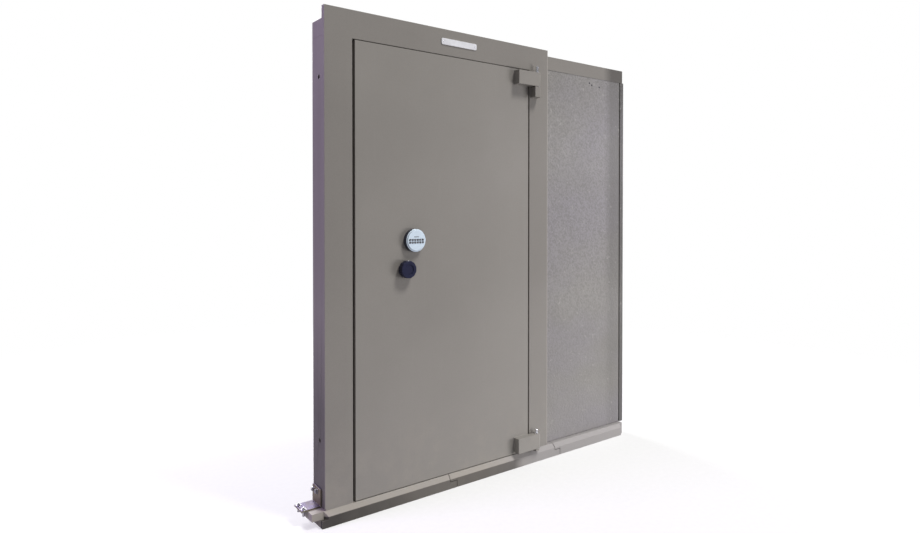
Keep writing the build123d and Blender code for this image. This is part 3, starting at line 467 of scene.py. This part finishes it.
def make_piece(name, mesh, look, body, smooth=True):
    """Object from a mesh in place, with a material, riding on a body."""
    piece = bpy.data.objects.new(name, mesh)
    bpy.context.scene.collection.objects.link(piece)
    mesh.materials.append(look)
    mesh.polygons.foreach_set("use_smooth", [smooth] * len(mesh.polygons))
    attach(piece, body)
    return piece


def mesh_from(builder, name):
    """Mesh data from a bmesh, with its normals turned outwards."""
    bmesh.ops.recalc_face_normals(builder, faces=builder.faces)
    mesh = bpy.data.meshes.new(name)
    builder.to_mesh(mesh)
    builder.free()
    return mesh


def lathe(builder, profile, centre, axis, segments=48):
    """Turned shape: profile is (radius, distance along the axis), starting and ending on the axis."""
    turn = Vector((0, 0, 1)).rotation_difference(Vector(axis)).to_matrix().to_4x4()
    place = Matrix.Translation(centre) @ turn
    rings = []
    for radius, along in profile:
        if radius < 1e-7:
            rings.append([builder.verts.new(place @ Vector((0, 0, along)))])
            continue
        ring = []
        for step in range(segments):
            angle = 2 * math.pi * step / segments
            ring.append(
                builder.verts.new(place @ Vector((radius * math.cos(angle), radius * math.sin(angle), along)))
            )
        rings.append(ring)
    for one, other in zip(rings, rings[1:]):
        for step in range(segments):
            after = (step + 1) % segments
            corners = [one[step % len(one)], one[after % len(one)]]
            corners += [other[after % len(other)], other[step % len(other)]]
            unique = list(dict.fromkeys(corners))
            if len(unique) > 2:
                builder.faces.new(unique)


# ---- wall panel's outer sheet --------------------------------------------------------------------


def smooth_hill(value, centre, half_width):
    """1 at the centre, falling smoothly to 0 at half_width from it."""
    t = max(0.0, 1.0 - abs(value - centre) / half_width)
    return t * t * (3 - 2 * t)


def sheet_relief(x, z):
    """How far the painted sheet stands proud at a point: orange peel, broad waves and long creases."""
    peel = noise.noise(Vector((x * 48, 3.1, z * 48)))
    lumps = noise.noise(Vector((x * 22, 7.7, z * 18)))
    waves = noise.noise(Vector((x * 4, 1.3, z * 2.2)))
    bend = 0.025 * noise.noise(Vector((5.0, 0.4, z * 5)))
    along = noise.noise(Vector(((x + bend) * 26, 9.2, z * 3.4)))
    crease = max(0.0, 1.0 - abs(along) * 7) ** 2
    region = smooth_hill(x, 1.08, 0.24) * smooth_hill(z, 1.02, 0.62)
    return 0.00016 * peel + 0.00022 * lumps + 0.0006 * waves + 0.0011 * crease * region


def wrinkled_sheet():
    """Outer sheet of the wall panel, as a closed slab with a relief on its front."""
    low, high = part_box("panel_front_skin")
    cell = 0.006
    columns = round((high.x - low.x) / cell)
    rows = round((high.z - low.z) / cell)
    border = 0.012
    builder = bmesh.new()
    front = []
    for row in range(rows + 1):
        z = low.z + (high.z - low.z) * row / rows
        line = []
        for column in range(columns + 1):
            x = low.x + (high.x - low.x) * column / columns
            edge = min(x - low.x, high.x - x, z - low.z, high.z - z) / border
            y = low.y - min(1.0, edge) * sheet_relief(x, z)
            line.append(builder.verts.new((x, y, z)))
        front.append(line)
    for row in range(rows):
        for column in range(columns):
            one, other = front[row], front[row + 1]
            builder.faces.new((one[column], one[column + 1], other[column + 1], other[column]))
    rim_highlight = [edge for edge in builder.edges if edge.is_boundary]
    grown = bmesh.ops.extrude_edge_only(builder, edges=rim_highlight)["geom"]
    for vert in grown:
        if isinstance(vert, bmesh.types.BMVert):
            vert.co.y = high.y
    back = [edge for edge in builder.edges if edge.is_boundary]
    bmesh.ops.contextual_create(builder, geom=back)
    mesh = mesh_from(builder, "panel_sheet")
    piece = make_piece("panel_sheet", mesh, LOOKS["panel_paint"], "root")
    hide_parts("panel_front_skin")


wrinkled_sheet()

# ---- weld beads ----------------------------------------------------------------------------------


def weld_bead(name, points, radius, look, body):
    """Painted weld bead along a path: a ripple of overlapping half-moons, as a tube of varying size."""
    builder = bmesh.new()
    sides = 10
    step_length = radius * 0.35
    for start, end in zip(points, points[1:]):
        start, end = Vector(start), Vector(end)
        run = end - start
        count = max(4, round(run.length / step_length))
        across = run.orthogonal().normalized()
        up = run.cross(across).normalized()
        rings = []
        for step in range(count + 1):
            along = start + run * step / count
            ripple = 1.0 + 0.14 * math.sin(step * 1.9) + 0.12 * noise.noise(along * 180)
            ring = []
            for side in range(sides):
                angle = 2 * math.pi * side / sides
                offset = across * math.cos(angle) + up * math.sin(angle)
                ring.append(builder.verts.new(along + offset * radius * ripple))
            rings.append(ring)
        for one, other in zip(rings, rings[1:]):
            for side in range(sides):
                after = (side + 1) % sides
                builder.faces.new((one[side], one[after], other[after], other[side]))
        builder.faces.new(rings[0])
        builder.faces.new(rings[-1])
    make_piece(name, mesh_from(builder, name), look, body)


leaf_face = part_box("door_front_plate")[0].y
foot_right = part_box("door_front_plate")[1].x - 0.006
BEAD = 0.0022

for name in ("upper_hinge_arm", "lower_hinge_arm"):
    low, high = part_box(name)
    corners = [
        (foot_right, leaf_face, high.z),
        (low.x, leaf_face, high.z),
        (low.x, leaf_face, low.z),
        (foot_right, leaf_face, low.z),
    ]
    weld_bead(f"{name}_weld", corners, BEAD, LOOKS["door_paint"], "door")

low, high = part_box("upper_hinge_bracket")
corners = [
    (low.x, leaf_face, high.z - 0.003),
    (low.x, leaf_face, low.z),
    (high.x, leaf_face, low.z),
    (high.x, leaf_face, high.z - 0.003),
]
weld_bead("upper_hinge_bracket_weld", corners, BEAD, LOOKS["frame_paint"], "root")

# ---- keypad: figures and window; knob: painted highlight -----------------------------------------------


def text_piece(name, text, size, centre, look, body):
    """Raised figure on an outer face, centred on a point and facing outwards."""
    curve = bpy.data.curves.new(name + "_text", "FONT")
    curve.body = text
    curve.size = size
    curve.align_x = "CENTER"
    curve.align_y = "CENTER"
    curve.extrude = 0.00008
    curve.resolution_u = 3
    holder = bpy.data.objects.new(name + "_holder", curve)
    mesh = bpy.data.meshes.new_from_object(holder)
    bpy.data.objects.remove(holder)
    xs = [v.co.x for v in mesh.vertices]
    ys = [v.co.y for v in mesh.vertices]
    middle = Vector(((max(xs) + min(xs)) / 2, (max(ys) + min(ys)) / 2, 0))
    mesh.transform(Matrix.Translation(-middle))
    mesh.transform(Euler((math.radians(90), 0, 0)).to_matrix().to_4x4())
    mesh.transform(Matrix.Translation(centre))
    mesh.materials.clear()
    return make_piece(name, mesh, look, body, smooth=False)


KEY_SIGNS = "1234567890*#"
FIGURE_SIZE = 0.0062

for number, sign in enumerate(KEY_SIGNS, start=1):
    key = f"key_{number:02d}"
    low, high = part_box(key)
    centre = Vector(((low.x + high.x) / 2, low.y - 0.00006, (low.z + high.z) / 2))
    text_piece(f"{key}_figure", sign, FIGURE_SIZE, centre, PRINT_AND_HIGHLIGHT_WHITE, key)


def rounded_slab(name, centre, width, height, thickness, corner, look, body):
    """Thin plate with round corners and a bevelled front, facing outwards."""
    builder = bmesh.new()
    outline = []
    steps = 8
    for quarter, (sx, sz) in enumerate(((1, 1), (-1, 1), (-1, -1), (1, -1))):
        for step in range(steps + 1):
            angle = math.pi / 2 * (quarter + step / steps)
            x = sx * (width / 2 - corner) + corner * math.cos(angle)
            z = sz * (height / 2 - corner) + corner * math.sin(angle)
            outline.append((x, z))
    rings = []
    for inset, y in ((0.0, 0.0), (0.0, -thickness * 0.6), (thickness * 0.6, -thickness)):
        ring = []
        for x, z in outline:
            scale_x = 1 - 2 * inset / width
            scale_z = 1 - 2 * inset / height
            ring.append(builder.verts.new(centre + Vector((x * scale_x, y, z * scale_z))))
        rings.append(ring)
    for one, other in zip(rings, rings[1:]):
        for step in range(len(outline)):
            after = (step + 1) % len(outline)
            builder.faces.new((one[step], one[after], other[after], other[step]))
    builder.faces.new(rings[0])
    builder.faces.new(rings[-1])
    make_piece(name, mesh_from(builder, name), look, body, smooth=False)


WINDOW_RISE = 0.0165
WINDOW_WIDTH = 0.026
WINDOW_HEIGHT = 0.0032
WINDOW_THICKNESS = 0.0006
WINDOW_CORNER = 0.0014
face_low, face_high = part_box("keypad_face")
face_centre = (face_low + face_high) / 2
window_centre = Vector((face_centre.x, face_low.y + 0.0002, face_centre.z + WINDOW_RISE))
rounded_slab(
    "keypad_window",
    window_centre,
    WINDOW_WIDTH,
    WINDOW_HEIGHT,
    WINDOW_THICKNESS,
    WINDOW_CORNER,
    SMOKED_LENS,
    "door",
)

knob_low, knob_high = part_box("bolt_knob")
knob_centre = (knob_low + knob_high) / 2
DOME = ((1.0, 0.0), (0.98, 0.30), (0.88, 0.62), (0.68, 0.86), (0.40, 0.97), (0.0, 1.0))
HIGHLIGHT_DOME_RADIUS = 0.0036
HIGHLIGHT_DOME_HEIGHT = 0.0018
# Painted highlight: a small white dome on the knob's top, where the knob catches the light.
highlight_y = knob_low.y + 0.3 * (knob_high.y - knob_low.y)
highlight_place = Vector((knob_centre.x, highlight_y, knob_high.z - 0.0006))
index = bmesh.new()
button = [(0.0, -0.002), (HIGHLIGHT_DOME_RADIUS, -0.002)]
button += [(radius * HIGHLIGHT_DOME_RADIUS, along * HIGHLIGHT_DOME_HEIGHT) for radius, along in DOME]
lathe(index, button, highlight_place, (0, 0, 1), 24)
make_piece("knob_top_highlight", mesh_from(index, "knob_top_highlight"), PRINT_AND_HIGHLIGHT_WHITE, "knob")

# ---- rear cover's screws, bracket's washers and threads --------------------------------------------


def screw_centres(box_name, head_radius, side_count, end_count):
    """Centres of the screws around a rectangular cover, from the box of their node."""
    low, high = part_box(box_name)
    left, right = low.x + head_radius, high.x - head_radius
    bottom, top = low.z + head_radius, high.z - head_radius
    for step in range(side_count):
        z = bottom + (top - bottom) * step / (side_count - 1)
        yield left, z
        yield right, z
    for step in range(1, end_count + 1):
        x = left + (right - left) * step / (end_count + 1)
        yield x, bottom
        yield x, top


def cross_recess(builder, centre, radius, depth):
    """Cross sunk in a screw's dome, as two crossed wedge-shaped troughs, later drawn black as painted shade.
    """
    for turn in (0.0, math.pi / 2):
        spin = Matrix.Translation(centre) @ Matrix.Rotation(turn, 4, "Y")
        half = radius * 0.16
        top = [(-radius, 0, -half), (radius, 0, -half), (radius, 0, half), (-radius, 0, half)]
        bottom = [(-radius * 0.5, -depth, 0), (radius * 0.5, -depth, 0)]
        tops = [builder.verts.new(spin @ Vector(p)) for p in top]
        bottoms = [builder.verts.new(spin @ Vector(p)) for p in bottom]
        builder.faces.new((tops[0], tops[1], bottoms[1], bottoms[0]))
        builder.faces.new((tops[2], tops[3], bottoms[0], bottoms[1]))
        builder.faces.new((tops[1], tops[2], bottoms[1]))
        builder.faces.new((tops[3], tops[0], bottoms[0]))
        builder.faces.new(tops)


low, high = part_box("cover_screws")
HEAD_RADIUS = 0.005
head_height = high.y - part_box("rear_cover")[1].y
heads, recesses = bmesh.new(), bmesh.new()
for x, z in screw_centres("cover_screws", HEAD_RADIUS, 6, 4):
    seat = Vector((x, high.y - head_height, z))
    shank = [(0.0, low.y - seat.y), (HEAD_RADIUS * 0.5, low.y - seat.y), (HEAD_RADIUS * 0.5, 0.0)]
    dome = [(radius * HEAD_RADIUS, along * head_height) for radius, along in DOME]
    lathe(heads, shank + dome, seat, (0, 1, 0), 24)
    top = seat + Vector((0, head_height + 0.00004, 0))
    cross_recess(recesses, top, HEAD_RADIUS * 0.55, head_height * 0.5)
screws = make_piece("cover_screw_heads", mesh_from(heads, "heads"), LOOKS["bolt_steel"], "door")
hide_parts("cover_screws")
# Painted shade: the cross recesses are drawn black.
crosses = mesh_from(recesses, "crosses")
make_piece("cover_screw_crosses", crosses, LOOKS["lead_sheath"], "door", False)


def loose_boxes(name):
    """Boxes of the separate bodies inside one node, as (low, high) corners."""
    piece = nodes[name]
    builder = bmesh.new()
    builder.from_mesh(piece.data)
    bmesh.ops.remove_doubles(builder, verts=builder.verts, dist=0.000005)
    waiting = set(builder.verts)
    boxes = []
    while waiting:
        group = {waiting.pop()}
        growing = list(group)
        while growing:
            vert = growing.pop()
            for edge in vert.link_edges:
                near = edge.other_vert(vert)
                if near in waiting:
                    waiting.remove(near)
                    group.add(near)
                    growing.append(near)
        points = [piece.matrix_world @ vert.co for vert in group]
        low = Vector([min(point[axis] for point in points) for axis in range(3)])
        high = Vector([max(point[axis] for point in points) for axis in range(3)])
        boxes.append((low, high))
    builder.free()
    return boxes


def thread_profile(radius, length, pitch=0.00175):
    """Lathe profile of a threaded end: a saw of small ridges and a chamfered tip."""
    profile = [(0.0, 0.0), (radius, 0.0)]
    for turn in range(round((length - pitch) / pitch)):
        profile.append((radius, pitch * (turn + 0.35)))
        profile.append((radius * 0.90, pitch * (turn + 0.85)))
    profile += [(radius * 0.88, length - pitch * 0.3), (radius * 0.70, length), (0.0, length)]
    return profile


def washer_profile(inner, outer, thickness):
    """Lathe profile of a washer with rounded edges, closed on its bore."""
    soft = thickness * 0.25
    return [
        (inner, 0.0),
        (outer - soft, 0.0),
        (outer, soft),
        (outer, thickness - soft),
        (outer - soft, thickness),
        (inner, thickness),
        (inner, 0.0),
    ]


STUD_RADIUS = 0.0050
WASHER_RADIUS = 0.0118
WASHER_THICKNESS = 0.0015
NUT_HEIGHT = 0.0070
BRACKET_SHEET = 0.006
foot_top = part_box("base_rail_left")[1].z + BRACKET_SHEET
leg_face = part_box("lock_side_jamb")[0].x - BRACKET_SHEET

threads, washers = bmesh.new(), bmesh.new()
for low, high in loose_boxes("bracket_bolts"):
    middle = (low + high) / 2
    if high.x > leg_face:
        seat, out = Vector((leg_face, middle.y, middle.z)), Vector((-1, 0, 0))
        reach = leg_face - low.x
    else:
        seat, out = Vector((middle.x, middle.y, foot_top)), Vector((0, 0, 1))
        reach = high.z - foot_top
    stud = max(reach + 0.0015, NUT_HEIGHT + 0.004)
    lathe(threads, thread_profile(STUD_RADIUS, stud), seat, out, 32)
    lathe(washers, washer_profile(STUD_RADIUS * 1.1, WASHER_RADIUS, WASHER_THICKNESS), seat, out)
make_piece("bracket_threads", mesh_from(threads, "threads"), LOOKS["bolt_steel"], "root", False)
make_piece("bracket_washers", mesh_from(washers, "washers"), LOOKS["bolt_steel"], "root", False)

# ---- nameplate's rivets ---------------------------------------------------------------------------

RIVET_RADIUS = 0.0035
RIVET_HEIGHT = 0.0014
RIVET_INSET = 0.012
plate_low, plate_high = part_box("nameplate")
rivets = bmesh.new()
rivet_head = [(0.0, -0.0005), (RIVET_RADIUS, -0.0005)]
rivet_head += [(radius * RIVET_RADIUS, along * RIVET_HEIGHT) for radius, along in DOME]
rivet_z = (plate_low.z + plate_high.z) / 2
for x in (plate_low.x + RIVET_INSET, plate_high.x - RIVET_INSET):
    lathe(rivets, rivet_head, Vector((x, plate_low.y, rivet_z)), (0, -1, 0), 32)
make_piece("nameplate_rivets", mesh_from(rivets, "rivets"), LOOKS["bright_pin"], "root")

# ---- floor, world, lights, camera ------------------------------------------------------------------

FADE_START = 1.0
FADE_END = 5.0


def pale_floor():
    """Pale floor that fades out into the white surroundings with distance from the object."""
    builder = bmesh.new()
    bmesh.ops.create_grid(builder, x_segments=8, y_segments=8, size=30.0)
    mesh = bpy.data.meshes.new("floor")
    builder.to_mesh(mesh)
    builder.free()
    floor = bpy.data.objects.new("floor", mesh)
    floor.location = (0, 0, -0.0006)
    bpy.context.scene.collection.objects.link(floor)
    material, tree, shader, coords = new_material("floor")
    grain = spread(tree, cloud(tree, coords, 40.0, 4.0), 0.3, 0.7)
    pale = blend_colors(tree, grain, (0.92, 0.92, 0.92), (0.95, 0.95, 0.95))
    tree.links.new(pale, shader.inputs["Base Color"])
    shader.inputs["Roughness"].default_value = 0.75
    distance = add_node(tree, "ShaderNodeVectorMath", {0: coords}, operation="LENGTH").outputs["Value"]
    gone = add_node(tree, "ShaderNodeBsdfTransparent")
    far = spread(tree, distance, FADE_START, FADE_END, 0.55, 1.0)
    mixed = add_node(tree, "ShaderNodeMixShader", {0: far, 1: shader.outputs[0], 2: gone.outputs[0]})
    tree.links.new(mixed.outputs[0], tree.nodes["Material Output"].inputs["Surface"])
    mesh.materials.append(material)


def white_world(ambient):
    """World that is white to look at and gives a softer even light."""
    world = bpy.data.worlds.new("studio")
    bpy.context.scene.world = world
    world.use_nodes = True
    tree = world.node_tree
    tree.nodes.clear()
    seen = add_node(tree, "ShaderNodeBackground", {"Color": (1, 1, 1, 1), "Strength": 1.0})
    light = add_node(tree, "ShaderNodeBackground", {"Color": (0.97, 0.97, 1.0, 1), "Strength": ambient})
    path = add_node(tree, "ShaderNodeLightPath")
    inputs = {0: path.outputs["Is Camera Ray"], 1: light.outputs[0], 2: seen.outputs[0]}
    mixed = add_node(tree, "ShaderNodeMixShader", inputs)
    output = add_node(tree, "ShaderNodeOutputWorld")
    tree.links.new(mixed.outputs[0], output.inputs["Surface"])


def area_light(name, location, target, size, power, color=(1.0, 1.0, 1.0), mirrored=True):
    """Rectangular soft light aimed at a point; not mirrored means that it only lights evenly."""
    data = bpy.data.lights.new(name, "AREA")
    data.shape = "RECTANGLE"
    data.size, data.size_y = size
    data.energy = power
    data.color = color
    lamp = bpy.data.objects.new(name, data)
    lamp.location = location
    aim = Vector(target) - Vector(location)
    lamp.rotation_euler = aim.to_track_quat("-Z", "Y").to_euler()
    lamp.visible_glossy = mirrored
    lamp.visible_camera = False
    bpy.context.scene.collection.objects.link(lamp)


pale_floor()
white_world(0.21)
area_light("key", (3.6, -6.3, 13.1), (0.1, 0.0, 1.1), (3.2, 3.2), 1500.0, (1.0, 0.98, 0.96))
area_light("low_fill", (3.9, -3.5, 0.4), (0.6, 0.0, 0.4), (2.4, 0.9), 115.0, (1.0, 0.98, 0.97), False)
area_light("cool_band", (6.1, -5.0, 2.3), (0.85, 0.0, 1.6), (2.6, 0.8), 50.0, (0.90, 0.87, 1.0))
area_light("low_band", (2.6, -1.5, 0.46), (0.97, 0.0, 0.78), (1.6, 0.3), 3.6, (0.95, 0.92, 1.0))
area_light("left_violet", (-5.5, 1.5, 4.2), (-0.65, 0.0, 1.6), (2.0, 2.0), 230.0, (0.72, 0.54, 1.0))
area_light("behind", (0.5, 6.5, 4.5), (0.2, 0.0, 1.0), (3.0, 3.0), 480.0)

camera_data = bpy.data.cameras.new("camera")
camera_data.sensor_width = 36.0
camera_data.lens = 25.449
camera_data.shift_y = -0.0496
camera_data.clip_end = 200.0
camera = bpy.data.objects.new("camera", camera_data)
camera.location = (-1.8442, -2.5849, 1.3264)
camera.rotation_euler = Euler((math.radians(89.277), 0.0, math.radians(-37.04)))
bpy.context.scene.collection.objects.link(camera)
bpy.context.scene.camera = camera
bpy.context.scene.view_settings.view_transform = "Standard"
